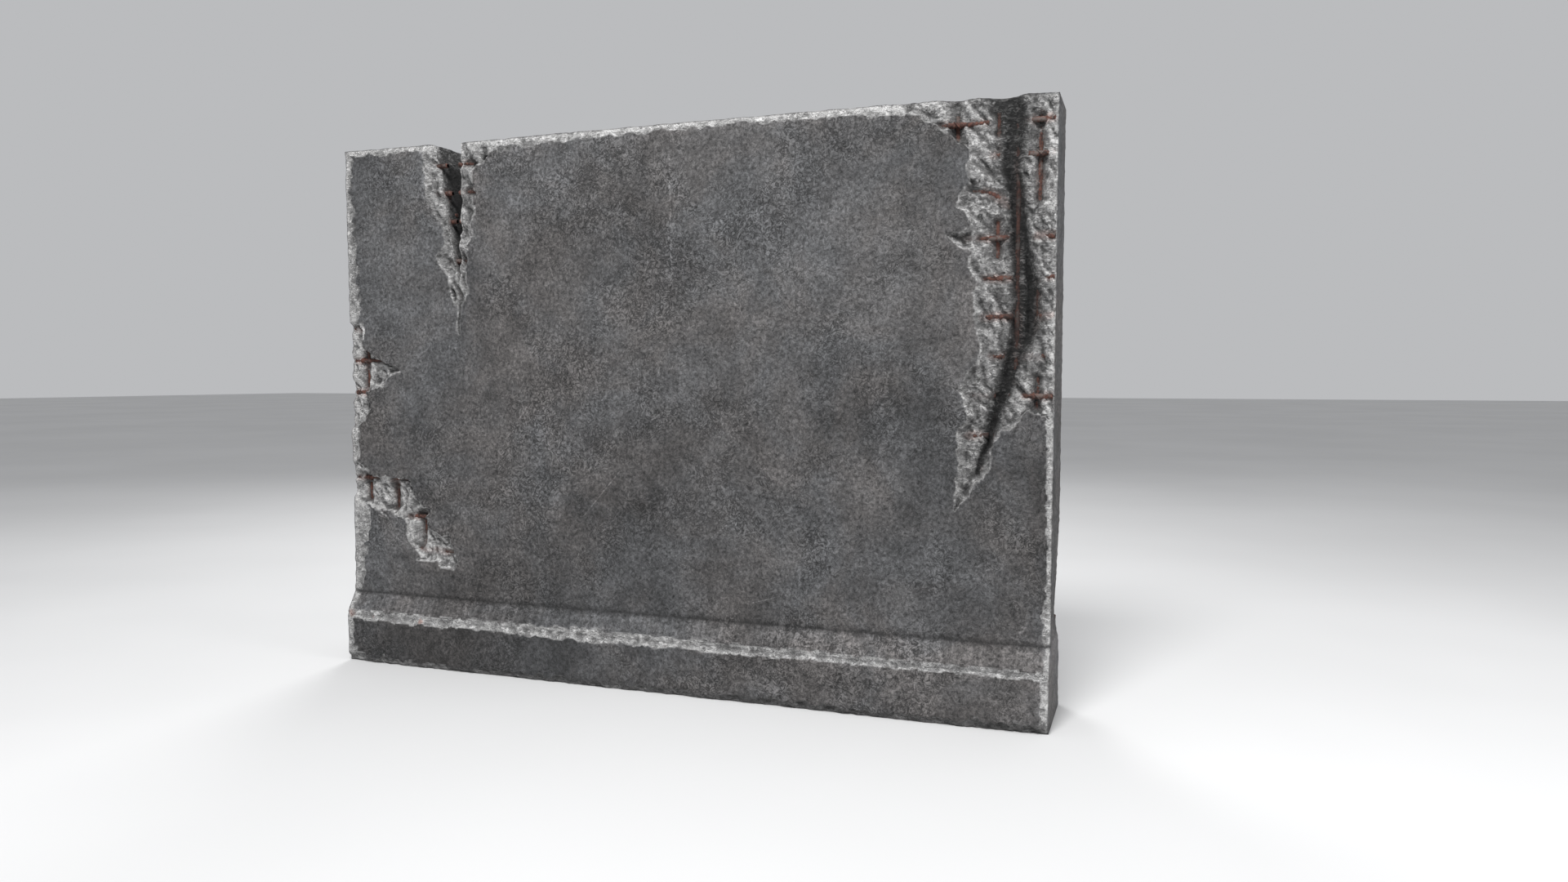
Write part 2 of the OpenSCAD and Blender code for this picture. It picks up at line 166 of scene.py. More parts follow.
class Noise:
    """Gradient noise in three dimensions, about -1 to 1, from a seed."""

    def __init__(self, seed):
        draw = np.random.default_rng(seed)
        self.order = draw.permutation(256)
        vectors = draw.normal(size=(256, 3))
        self.vectors = vectors / np.linalg.norm(vectors, axis=1, keepdims=True)

    def __call__(self, x, y, z=0.0):
        x, y, z = np.broadcast_arrays(x, y, z)
        whole = [np.floor(c).astype(int) for c in (x, y, z)]
        part = [c - w for c, w in zip((x, y, z), whole)]
        fade = [p * p * p * (p * (p * 6 - 15) + 10) for p in part]
        total = np.zeros(x.shape)
        for corner in range(8):
            step = [corner & 1, corner >> 1 & 1, corner >> 2 & 1]
            index = self.order[(whole[0] + step[0]) & 255]
            index = self.order[(index + whole[1] + step[1]) & 255]
            index = self.order[(index + whole[2] + step[2]) & 255]
            away = [p - s for p, s in zip(part, step)]
            value = sum(self.vectors[index, k] * away[k] for k in range(3))
            weight = np.ones(x.shape)
            for f, s in zip(fade, step):
                weight = weight * (f if s else 1 - f)
            total += weight * value
        return total * 1.5

    def layers(self, x, y, z, size, count, gain=0.5):
        """Noise of a size in millimetres with finer layers on top."""
        total, weight = 0.0, 1.0
        for k in range(count):
            scale = 2.0 ** k / size
            total = total + weight * self(x * scale + 17.3 * k, y * scale - 9.1 * k, z * scale + 5.7 * k)
            weight *= gain
        return total

    def creases(self, x, y, z, size, count, gain=0.5):
        """Layers folded into sharp creases: near 1 on a ridge, falling to about -1 in the hollows."""
        total, weight = 0.0, 1.0
        for k in range(count):
            scale = 2.0 ** k / size
            fold = 1 - 2.4 * np.abs(self(x * scale + 31.7 * k, y * scale + 3.9 * k, z * scale - 8.3 * k))
            total = total + weight * fold
            weight *= gain
        return total


SEEDS = (11, 23, 37, 41, 53)
warp_noise, floor_noise, crack_noise, edge_noise, skin_noise = (Noise(seed) for seed in SEEDS)


def smooth(x, low, high):
    """0 up to low, 1 from high on, with an even rise between them."""
    t = np.clip((x - low) / (high - low), 0, 1)
    return t * t * (3 - 2 * t)


def table(rows, at, column=1):
    """A column of a table, read at places along its first column."""
    rows = np.array(rows, float)
    return np.interp(at, rows[:, 0], rows[:, column])


def inside(outline, u, v):
    """How far a point lies inside an outline; negative outside it."""
    nearest = np.full(u.shape, 1e12)
    within = np.zeros(u.shape, bool)
    for (u0, v0), (u1, v1) in zip(outline, outline[1:] + outline[:1]):
        du, dv = u1 - u0, v1 - v0
        t = np.clip(((u - u0) * du + (v - v0) * dv) / (du * du + dv * dv), 0, 1)
        nearest = np.minimum(nearest, (u - u0 - t * du) ** 2 + (v - v0 - t * dv) ** 2)
        if dv:
            within ^= ((v0 > v) != (v1 > v)) & (u < u0 + (v - v0) * du / dv)
    return np.where(within, 1, -1) * np.sqrt(nearest)


def off_route(route, u, v):
    """Distance from a line of points."""
    nearest = np.full(u.shape, 1e9)
    for (u0, v0), (u1, v1) in zip(route, route[1:]):
        du, dv = u1 - u0, v1 - v0
        t = np.clip(((u - u0) * du + (v - v0) * dv) / (du * du + dv * dv), 0, 1)
        nearest = np.minimum(nearest, np.hypot(u - u0 - t * du, v - v0 - t * dv))
    return nearest


def bevel(strip, along, away, variety, slope):
    """A crumbled edge: the strip's width varies along it, and the depth falls off away from the edge."""
    width = table(strip, along) * variety
    return slope * (width - away)


def rubble(u, v, w=0.0):
    """Relief of a fresh break, in millimetres, mostly within 5 either way."""
    along, across = 0.80 * u + 0.60 * v, 0.80 * v - 0.60 * u
    folds = crack_noise.creases(1.5 * along, across * 0.75, w, 52, 5, 0.62)
    lumps = floor_noise.layers(u, v, w, 75, 3, 0.4)
    return 2.3 * folds + 3.6 * lumps - 0.8


def skin_half(v):
    """Half of the sound casting's thickness at a height."""
    return np.interp(v, [0, TOE_TOP, LEDGE_TOP, HEIGHT], [TOE, TOE, WALL, WALL])


def spall_depth(u, v, relief):
    """Dished spalls with rough floors, at places that are already warped."""
    depth = np.zeros(u.shape)
    spalls = (
        (RIGHT_SPALL, 11.0, 10.0),
        (NOTCH_FRINGE, 9.0, 14.0),
        (LEFT_SPALL, 11.0, 8.0),
        (LOWER_SPALL, 10.0, 8.0),
    )
    for outline, floor, run in spalls:
        reach = inside(outline, u, v)
        dish = floor * (1 - np.exp(-np.maximum(reach, 0) / run)) * (1 + 0.12 * relief)
        dish += relief * smooth(reach, 2, 14)
        depth = np.maximum(depth, np.where(reach > 0, np.maximum(dish, 1.6 * smooth(reach, 0, 2)), 0))
    return depth


def lay_bars_bare(depth, u, v, warp_u, relief):
    """Deepens a spall where a bar shows in it."""
    stretches = [(row, RAIL_CROWN) for row in BARED_RAILS]
    stretches += [(row, UPRIGHT_CROWN) for row in BARED_UPRIGHTS]
    for (u0, v0, u1, v1), crown in stretches:
        away = off_route([(u0, v0), (u1, v1)], u, v)
        trench = crown + 0.8 - np.maximum(away * (1 + 0.5 * warp_u / 6) - 3.0, 0) + 0.55 * relief
        depth = np.where(depth > 2, np.maximum(depth, trench), depth)
    return depth


def gouge_depth(u, v, warp_u, relief):
    """The gouge, no deeper than the seat of its spare bar."""
    centre, half, deep = (table(GOUGE, v, column) for column in (1, 2, 3))
    across = np.abs(u + 0.7 * warp_u - centre) / (half * 1.25)
    gouge = deep * (1 - across ** 1.6) + 1.3 * relief
    off_seat = np.maximum(np.abs(u - GOUGE_BAR) - GOUGE_BAR_SEAT, 0)
    gouge = np.minimum(gouge, UPRIGHT_CROWN + 1.0 + 0.6 * relief + 1.5 * off_seat)
    return np.where((v > GOUGE[0][0]) & (across < 1), gouge, 0)


def front_depth(u, v):
    """How far the front is broken in, in millimetres, at each place on it."""
    warp_u = 6 * warp_noise.layers(u, v, 3.0, 34, 3, 0.6)
    warp_v = 6 * warp_noise.layers(u, v, 91.0, 34, 3, 0.6)
    wu, wv = u + warp_u, v + warp_v
    relief = rubble(u, v)
    ragged = 1 + 0.55 * edge_noise.layers(u, v, 7.0, 26, 3)

    depth = lay_bars_bare(spall_depth(wu, wv, relief), u, v, warp_u, relief)
    depth = np.maximum(depth, gouge_depth(u, v, warp_u, relief))
    for route, half, deep in CRACKS:
        depth = np.maximum(depth, deep * (1 - off_route(route, wu - 0.5 * warp_u, wv) / half))

    strips = np.maximum.reduce([
        bevel(LEFT_STRIP, wv, u, ragged, 0.14),
        bevel(RIGHT_STRIP, wv, LENGTH - u, ragged, 0.5),
        bevel(TOP_STRIP, wu, HEIGHT - v, ragged, 0.3),
        bevel(BOTTOM_STRIP, wu, v, ragged - 0.15, 0.6),
        bevel(CREST_STRIP, wu, np.abs(v - TOE_TOP) * 0.8, ragged, 0.6),
    ])
    strips = strips + np.where(strips > 0, 0.35 * relief + 0.8, 0)
    depth = np.maximum(depth, strips)
    return np.maximum(depth, 0) + 0.25 * skin_noise.layers(u, v, 0.0, 14, 3)


def rear_depth(u, v):
    """How far the rear is broken in, in millimetres, at each place on it."""
    from_end = LENGTH - u
    relief = rubble(u, v, 400.0)
    ragged = 1 + 0.6 * edge_noise.layers(u, v, 407.0, 26, 3)
    bite = table(BITE, v + 5 * warp_noise.layers(u, v, 409.0, 40, 2))
    bite = bite * np.clip(1 - from_end / BITE_LENGTH, 0, 1) ** 0.8
    bite = np.where(bite > 1.5, bite + relief, 0)
    strips = np.maximum.reduce([
        bevel(LEFT_STRIP, v, u, 0.5 * ragged, 0.5),
        bevel(RIGHT_STRIP, v, from_end, 0.8 * ragged, 0.8),
        bevel(TOP_STRIP, LENGTH - u, HEIGHT - v, 0.9 * ragged, 1.0),
        bevel(BOTTOM_STRIP, u, v, 0.7 * ragged, 0.6),
        bevel(CREST_STRIP, LENGTH - u, np.abs(v - TOE_TOP) * 0.8, 0.8 * ragged, 0.6),
    ])
    strips = strips + np.where(strips > 0, 0.35 * relief + 0.8, 0)
    depth = np.maximum.reduce([bite, strips, np.zeros(u.shape)])
    return depth + 0.25 * skin_noise.layers(u, v, 300.0, 14, 3)


# ---------------------------------------------------------------- meshes


def steps(*stops):
    """Stations between the stops: each stop is a place and the spacing that follows it."""
    rows = []
    for (a, gap), (b, _) in zip(stops, stops[1:]):
        rows.append(np.linspace(a, b, max(1, round((b - a) / gap)) + 1)[:-1])
    return np.concatenate(rows + [[stops[-1][0]]])


def mesh_object(name, points, faces):
    """A new object in the scene, from points in metres."""
    mesh = bpy.data.meshes.new(name)
    mesh.from_pydata([tuple(p) for p in points], [], faces)
    mesh.update()
    piece = bpy.data.objects.new(name, mesh)
    bpy.context.scene.collection.objects.link(piece)
    return piece


def quads(ids):
    """The faces of a grid of point ids."""
    a, b, c, d = ids[:-1, :-1], ids[:-1, 1:], ids[1:, 1:], ids[1:, :-1]
    return np.stack([a, b, c, d], axis=-1).reshape(-1, 4)


def casting_mesh():
    """The casting as six grids that share their edges, pushed in by the damage."""
    coarse = 2 * FINE
    u = steps((0, FINE), (30, FINE), (300, coarse), (1130, FINE), (LENGTH, 0))
    v = steps((0, FINE), (18, coarse), (82, FINE), (TOE_TOP, FINE), (LEDGE_TOP, FINE), (160, coarse),
              (196, FINE), (400, coarse), (470, FINE), (HEIGHT, 0))
    t = np.linspace(0, 1, round(2 * WALL / (1.4 * FINE)) + 1)
    uu, vv = np.meshgrid(u, v)
    half = skin_half(vv)
    # The outer edges wander back a little from the true box.
    top_sink = np.abs(edge_noise.layers(uu, 5.0, 60.0, 40, 3)) * 1.4 * smooth(vv, HEIGHT - 40, HEIGHT)
    left_sink = np.abs(edge_noise.layers(vv, 9.0, 70.0, 30, 3)) * 1.2 * smooth(30 - uu, 0, 30)
    right_sink = np.abs(edge_noise.layers(vv, 9.0, 80.0, 30, 3)) * 3.0 * smooth(uu, LENGTH - 30, LENGTH)
    x, z = uu + left_sink - right_sink, vv - top_sink
    front = np.stack([x, -half + front_depth(uu, vv), z], axis=-1)
    rear = np.stack([x, half - rear_depth(uu, vv), z], axis=-1)

    count = uu.size
    front_ids = np.arange(count).reshape(uu.shape)
    rear_ids = front_ids + count
    points = [front.reshape(-1, 3), rear.reshape(-1, 3)]
    total = 2 * count

    def bridge(front_edge, rear_edge, first, last, push):
        """A grid between two edges, given the ids of its two other sides or None."""
        nonlocal total
        a, b = (np.concatenate(points)[ids] for ids in (front_edge, rear_edge))
        grid = a[None] * (1 - t[:, None, None]) + b[None] * t[:, None, None]
        away = np.minimum(t, 1 - t)[:, None] * 2 * WALL
        grid = push(grid, np.minimum(away / 6, 1))
        ids = np.full(grid.shape[:2], -1)
        ids[0], ids[-1] = front_edge, rear_edge
        if first is not None:
            ids[:, 0], ids[:, -1] = first, last
        free = ids < 0
        ids[free] = total + np.arange(free.sum())
        points.append(grid[free])
        total += int(free.sum())
        return ids

    def push_top(grid, fade):
        rough = 0.8 + skin_noise.layers(grid[..., 0], grid[..., 1], 200.0, 22, 4)
        grid[..., 2] += (HEIGHT - 0.8 * np.abs(rough) - grid[..., 2]) * fade
        return grid

    def push_end(sign):
        flat = 0.0 if sign > 0 else LENGTH

        def push(grid, fade):
            rough = 0.9 * skin_noise.layers(grid[..., 1] + 500 * sign, grid[..., 2], 220.0, 24, 4)
            grid[..., 0] += (flat + sign * np.abs(rough) - grid[..., 0]) * fade
            return grid
        return push

    def keep(grid, fade):
        return grid

    top = bridge(front_ids[-1], rear_ids[-1], None, None, push_top)
    bottom = bridge(front_ids[0], rear_ids[0], None, None, keep)
    left = bridge(front_ids[:, 0], rear_ids[:, 0], bottom[:, 0], top[:, 0], push_end(1))
    right = bridge(front_ids[:, -1], rear_ids[:, -1], bottom[:, -1], top[:, -1], push_end(-1))
    faces = [quads(front_ids), quads(rear_ids)[:, ::-1], quads(top), quads(bottom)[:, ::-1],
             quads(left), quads(right)[:, ::-1]]
    points = np.concatenate(points)
    points[:, 0] -= LENGTH / 2
    return mesh_object("concrete_casting", points * MM, np.concatenate(faces).tolist())


def notch_cutter():
    """A rough wedge right through the wall, which leaves the notch's broken walls."""
    corners = np.array(NOTCH + NOTCH[:1], float)
    along = np.concatenate([[0], np.cumsum(np.hypot(*np.diff(corners, axis=0).T))])
    stations = np.linspace(0, along[-1], round(along[-1] / (1.2 * FINE)) + 1)[:-1]
    u, v = (np.interp(stations, along, corners[:, k]) for k in (0, 1))
    y = np.linspace(-TOE - 12, TOE + 12, round(2 * TOE / (1.2 * FINE)) + 1)
    uu, yy = np.meshgrid(u, y)
    vv = np.broadcast_to(v, uu.shape)
    loose = smooth(vv, NOTCH[7][1], NOTCH[7][1] + 120) * 0.9 + 0.1
    side = np.where(uu < np.interp(vv, [785, 1110], [275, 250]), -1, 1)
    uu = uu + side * loose * (0.8 * rubble(yy, vv, 40.0 * side) + 1.5)
    points = np.stack([uu - LENGTH / 2, yy, vv], axis=-1)
    ids = np.arange(uu.size).reshape(uu.shape)
    ring = np.concatenate([ids, ids[:, :1]], axis=1)
    faces = quads(ring).tolist() + [ids[0][::-1].tolist(), ids[-1].tolist()]
    return mesh_object("notch_cutter", points.reshape(-1, 3) * MM, faces)


def lathe(name, profile, x, y):
    """A closed turned solid about a vertical axis, from points (radius, height) in millimetres."""
    sides = 64
    turn = np.linspace(0, 2 * math.pi, sides, endpoint=False)
    points = [(x + r * math.cos(a), y + r * math.sin(a), z) for r, z in profile for a in turn]
    ids = np.arange(len(points)).reshape(len(profile), sides)
    ring = np.concatenate([ids, ids[:, :1]], axis=1)
    faces = quads(ring).tolist() + [ids[0][::-1].tolist(), ids[-1].tolist()]
    return mesh_object(name, np.array(points) * MM, faces)


def block(name, low, high):
    """A closed box, in metres."""
    xs, ys, zs = zip(low, high)
    corners = [(x, y, z) for x in xs for y in ys for z in zs]
    faces = [(0, 1, 3, 2), (4, 6, 7, 5), (0, 4, 5, 1), (2, 3, 7, 6), (0, 2, 6, 4), (1, 5, 7, 3)]
    return mesh_object(name, corners, faces)


def outward(piece):
    """Turns the faces of a closed mesh outwards."""
    volume = 0.0
    mesh = piece.data
    mesh.calc_loop_triangles()
    for tri in mesh.loop_triangles:
        a, b, c = (mesh.vertices[i].co for i in tri.vertices)
        volume += a.dot(b.cross(c))
    if volume < 0:
        mesh.flip_normals()


def cut(piece, cutter):
    """Takes a closed cutter out of a piece."""
    outward(cutter)
    tool = piece.modifiers.new("cut", "BOOLEAN")
    tool.operation, tool.object, tool.solver = "DIFFERENCE", cutter, "MANIFOLD"
    apply_modifiers(piece)
    bpy.data.objects.remove(cutter)


def apply_modifiers(piece):
    """Makes a piece's modifiers part of its mesh."""
    shape = piece.evaluated_get(bpy.context.evaluated_depsgraph_get())
    mesh = bpy.data.meshes.new_from_object(shape)
    piece.modifiers.clear()
    old, piece.data = piece.data, mesh
    bpy.data.meshes.remove(old)


def loose_boxes(node):
    """The box of each separate solid in a CAD node, in metres: an array of (low, high)."""
    mesh = frame["nodes"][node].data
    points = np.array([v.co[:] for v in mesh.vertices])
    label = np.arange(len(points))
    edges = np.array([e.vertices[:] for e in mesh.edges])
    while True:
        low = np.minimum(label[edges[:, 0]], label[edges[:, 1]])
        before = label.copy()
        np.minimum.at(label, edges[:, 0], low)
        np.minimum.at(label, edges[:, 1], low)
        label = label[label]
        if (label == before).all():
            break
    return [(points[label == k].min(axis=0), points[label == k].max(axis=0)) for k in np.unique(label)]


def coordinates(mesh):
    """A mesh's points as an array, in metres."""
    flat = np.empty(3 * len(mesh.vertices), np.float32)
    mesh.vertices.foreach_get("co", flat)
    return flat.reshape(-1, 3).astype(float)


def store(mesh, name, values):
    """Keeps a value for each point of a mesh, for its material."""
    layer = mesh.attributes.new(name, "FLOAT", "POINT")
    layer.data.foreach_set("value", np.asarray(values, np.float32))


def buried(points):
    """How deep each point lies under the sound casting's skin, in millimetres."""
    x, y, z = (points / MM).T
    ledge = math.cos(math.atan2(TOE - WALL, LEDGE_TOP - TOE_TOP))
    side = skin_half(z) - np.abs(y)
    side = np.where(z < LEDGE_TOP + 1, side * np.where(z > TOE_TOP, ledge, 1), side)
    return np.minimum.reduce([side, LENGTH / 2 - np.abs(x), HEIGHT - z])


def hollows(mesh, points, rounds):
    """How far each point lies in a hollow of its surroundings, in millimetres."""
    edges = np.array([e.vertices[:] for e in mesh.edges])
    normals = np.array([v.normal[:] for v in mesh.vertices])
    links = np.bincount(edges.ravel(), minlength=len(points))[:, None]
    spread = points
    for _ in range(rounds):
        total = np.zeros(points.shape)
        for k in range(3):
            total[:, k] = np.bincount(edges[:, 0], spread[edges[:, 1], k], len(points))
            total[:, k] += np.bincount(edges[:, 1], spread[edges[:, 0], k], len(points))
        spread = 0.5 * spread + 0.5 * total / links
    return ((spread - points) * normals).sum(axis=1) / MM


def wear_and_painted_light(points):
    """1 where a break is pale: the outer edges, which are clean and worn pale, and the low spalls at the
    left end, which are painted light.
    """
    x, y, z = np.abs(points / MM).T
    to_end, to_top, to_face = LENGTH / 2 - x, HEIGHT - z, np.maximum(skin_half(z) - y, 0)
    near = np.minimum.reduce([
        np.hypot(to_end, to_face), np.hypot(to_top, to_face), np.hypot(to_end, to_top),
        np.hypot(z - TOE_TOP, to_face) + 40 * (y < WALL),
    ])
    # Painted light on the low spalls at the left end.
    low_left = smooth(-points[:, 0] / MM, LENGTH / 2 - 280, LENGTH / 2 - 230) * (z < 760)
    return np.maximum(smooth(-near, -26, -5), low_left)


def gouge_notch_shade(points):
    """How much painted shade the damage takes: 1 down the middle of the gouge and inside the notch, 0 away
    from them.
    """
    x, y, z = (points / MM).T
    u = x + LENGTH / 2
    centre, half = (table(GOUGE, z, column) for column in (1, 2))
    in_gouge = smooth(-np.abs(u - centre) / half, -1.9, -0.45) * (z > GOUGE[0][0]) * (y < 0)
    through = smooth(-np.abs(y), -WALL + 12, -WALL + 30) * (z > NOTCH[7][1]) * (np.abs(u - 250) < 45)
    return np.maximum(in_gouge, 0.8 * through)


def bar_distance(points, nodes, chosen):
    """Distance in millimetres from the chosen points to the nearest bar of some CAD nodes."""
    away = np.full(len(points), 60.0)
    shapes = bpy.context.evaluated_depsgraph_get()
    trees = [bvhtree.BVHTree.FromObject(frame["nodes"][node], shapes) for node in nodes]
    for i in np.flatnonzero(chosen):
        for tree in trees:
            found = tree.find_nearest(Vector(points[i]), 0.03)
            if found[3] is not None:
                away[i] = min(away[i], found[3] / MM)
    return away


def cut_recesses(piece):
    """The seats of the lifting sockets and the pockets of the mortar blocks."""
    for node in SOCKETS:
        low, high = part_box(node)
        x, y = (low[0] + high[0]) / 2 / MM, (low[1] + high[1]) / 2 / MM
        radius, top, foot = (high[0] - low[0]) / 2 / MM, high[2] / MM, low[2] / MM
        seat = [(radius + 0.1, foot), (radius + 0.1, top), (radius + 7, top)]
        seat += [(radius + 17, HEIGHT), (radius + 18, HEIGHT + 5)]
        cut(piece, lathe("socket_cutter", seat, x, y))
    slack = np.full(3, 0.2 * MM)
    past_the_foot = np.array([0, 0, 5 * MM])
    for low, high in loose_boxes("base_spacer_blocks"):
        cut(piece, block("pocket_cutter", low - slack - past_the_foot, high + slack))


def thin_out(piece):
    """Brings a piece down to the limit of triangles."""
    piece.data.calc_loop_triangles()
    ratio = MAX_TRIANGLES / len(piece.data.loop_triangles)
    if ratio < 1:
        thin = piece.modifiers.new("thin", "DECIMATE")
        thin.ratio = ratio
        apply_modifiers(piece)


def store_layers(mesh):
    """Marks on the casting's points, which its material reads."""
    points = coordinates(mesh)
    under = buried(points)
    for node in SOCKETS:
        low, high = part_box(node)
        near = np.hypot(points[:, 0] - (low[0] + high[0]) / 2, points[:, 1]) < 35 * MM
        under = np.where(near & (points[:, 2] > 900 * MM), 0.0, under)
    under = np.where(points[:, 2] < 0.5 * MM, 0.0, under)
    broken = smooth(under, 0.7, 1.9)
    out = np.abs(points[:, 1]) / MM
    # Painted shade along the crease where the ledge meets the wall.
    crease_shade = np.exp(-((points[:, 2] / MM - LEDGE_TOP - 1) / 4.0) ** 2)
    crease_shade *= smooth(TOE - out, 15, 22) * (out > WALL - 12)
    bars = ["front_rails", "front_torn_rail", "front_upright_bars", "toe_links", "toe_crest_bars"]
    store(mesh, "broken", broken)
    # Where the material paints shade on stone far under the skin.
    store(mesh, "deep", smooth(under, 28, 52))
    store(mesh, "crease_shade", crease_shade)
    # Pale wear on the outer edges, and painted light on the low spalls at the left end.
    store(mesh, "wear_and_painted_light", wear_and_painted_light(points))
    # Where the material paints shade down the gouge and inside the notch.
    store(mesh, "gouge_notch_shade", gouge_notch_shade(points))
    # Where the material paints shade in hollows and light on ridges.
    store(mesh, "hollow", hollows(mesh, points, 6) / 2.0)
    store(mesh, "hollow_wide", hollows(mesh, points, 40) / 5.0)
    store(mesh, "near_bar", np.clip(1 - bar_distance(points, bars, broken > 0.5) / 22.0, 0, 1))


def concrete():
    piece = casting_mesh()
    cut(piece, notch_cutter())
    cut_recesses(piece)
    thin_out(piece)
    mesh = piece.data
    mesh.shade_smooth()
    mesh.set_sharp_from_angle(angle=math.radians(38))
    store_layers(mesh)
    mesh.materials.clear()
    mesh.materials.append(concrete_material())
    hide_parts("concrete_body")
    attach(piece, ROOT)


# ---------------------------------------------------------------- bars


def ribbed_bar(start, heading, length, radius, fine, bend_radius=0.0, bend_from=None):
    """Rings of a ribbed bar: fine is a list of (low, high) stretches along it that are cut finely.

    Past bend_from the bar curls downwards on an arc of bend_radius.
    """
    sides, lead, fine_gap, plain_gap = 12, 4.0, 1.8, 40.0
    stations = [0.0]
    while stations[-1] < length:
        at = stations[-1]
        near = any(low - lead <= at <= high for low, high in fine)
        stations.append(min(length, at + (fine_gap if near else plain_gap)))
        if not near:
            ahead = [low - lead for low, high in fine if at < low - lead < stations[-1]]
            if ahead:
                stations[-1] = min(ahead)
    at = np.array(stations)
    turn = np.linspace(0, 2 * math.pi, sides, endpoint=False)
    ss, aa = np.meshgrid(at, turn, indexing="ij")
    rib = np.maximum(0, np.sin(2 * math.pi * ss / 6.5 + 2.0 * np.cos(aa))) ** 0.7
    rib = rib * np.clip(np.abs(np.sin(aa)) * 2.2, 0, 1)
    rust = 0.22 * skin_noise.layers(ss, 4.0 * np.cos(aa) + start[1], 4.0 * np.sin(aa) + start[2], 7, 2)
    r = radius - 0.55 + 0.75 * rib + rust
    for end in (0.0, length):
        r = r * (1 - 0.12 * (np.abs(ss - end) < 0.5))
    heading = np.array(heading, float)
    side = np.array([0.0, 1.0, 0.0]) if abs(heading[1]) < 0.5 else np.array([1.0, 0.0, 0.0])
    other = np.cross(heading, side)
    centre = np.array(start)[None] + at[:, None] * heading[None]
    up = np.broadcast_to(other, centre.shape).copy()
    if bend_from is not None:
        angle = np.maximum(at - bend_from, 0) / bend_radius
        straight = np.minimum(at, bend_from)
        centre = np.array(start)[None] + straight[:, None] * heading[None]
        centre[:, 0] += bend_radius * np.sin(angle)
        centre[:, 2] -= bend_radius * (1 - np.cos(angle))
        up = np.stack([np.sin(angle), 0 * angle, np.cos(angle)], axis=1)
    outwards = np.cos(aa)[..., None] * side[None, None] + np.sin(aa)[..., None] * up[:, None]
    return centre[:, None] + r[..., None] * outwards


def ribbed_group(name, bars):
    """One piece out of many ribbed bars."""
    points, faces, first = [], [], 0
    for ring in bars:
        ids = first + np.arange(ring.shape[0] * ring.shape[1]).reshape(ring.shape[:2])
        faces += quads(np.concatenate([ids, ids[:, :1]], axis=1)).tolist()
        faces += [ids[0][::-1].tolist(), ids[-1].tolist()]
        points.append(ring.reshape(-1, 3))
        first = ids.max() + 1
    piece = mesh_object(name, np.concatenate(points) * MM, faces)
    outward(piece)
    piece.data.shade_smooth()
    piece.data.set_sharp_from_angle(angle=math.radians(60))
    # Where the bars take painted shade, down the gouge and inside the notch.
    store(piece.data, "gouge_notch_shade", gouge_notch_shade(coordinates(piece.data)))
    return piece


def straight_bars(node, axis, fine):
    """Ribbed bars where a CAD node has plain ones; fine gives each bar's finely cut stretches."""
    rings = []
    for low, high in loose_boxes(node):
        low, high = low / MM, high / MM
        middle = (low + high) / 2
        start = middle.copy()
        start[axis] = low[axis]
        heading = np.eye(3)[axis]
        radius = (high[1] - low[1]) / 2
        rings.append(ribbed_bar(start, heading, high[axis] - low[axis], radius, fine(low, high)))
    return rings


def rail_stretches(low, high):
    """The parts of a rail near the damage at the two ends."""
    offset = low[0] + LENGTH / 2
    ends = (0.0, 300.0), (1130.0, LENGTH)
    return [(a - offset, b - offset) for a, b in ends if b > offset and a < high[0] + LENGTH / 2]


def upright_stretches(low, high):
    """The part of an upright bar above the ledge, if the bar stands near the damage."""
    u = (low[0] + high[0]) / 2 + LENGTH / 2
    return [(180.0, high[2])] if u < 260 or u > 1190 else []


def torn_rail(node):
    """The rail that is snapped in the gouge: the bar with the bent end curls downwards."""
    bend_radius, bend_angle, bend_to_end = 60.0, math.radians(58), 134.0
    rings = []
    for low, high in sorted(((a / MM, b / MM) for a, b in loose_boxes(node)), key=lambda box: box[0][0]):
        radius = (high[1] - low[1]) / 2
        start = (low[0], (low[1] + high[1]) / 2, high[2] - radius)
        fine = [(a, b + bend_radius) for a, b in rail_stretches(low, high)]
        if high[2] - low[2] > 3 * radius:
            straight = LENGTH / 2 - bend_to_end - low[0]
            arc = bend_radius * bend_angle
            rings.append(ribbed_bar(start, (1, 0, 0), straight + arc, radius, fine, bend_radius, straight))
        else:
            rings.append(ribbed_bar(start, (1, 0, 0), high[0] - low[0], radius, fine))
    return rings


def bars():
    sets = {
        "front_rails": straight_bars("front_rails", 0, rail_stretches),
        "rear_rails": straight_bars("rear_rails", 0, rail_stretches),
        "front_upright_bars": straight_bars("front_upright_bars", 2, upright_stretches),
        "rear_upright_bars": straight_bars("rear_upright_bars", 2, upright_stretches),
        "front_torn_rail": torn_rail("front_torn_rail"),
    }
    for node, rings in sets.items():
        piece = ribbed_group(node + "_ribbed", rings)
        piece.data.materials.append(rust_material())
        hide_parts(node)
        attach(piece, ROOT)


# ---------------------------------------------------------------- materials


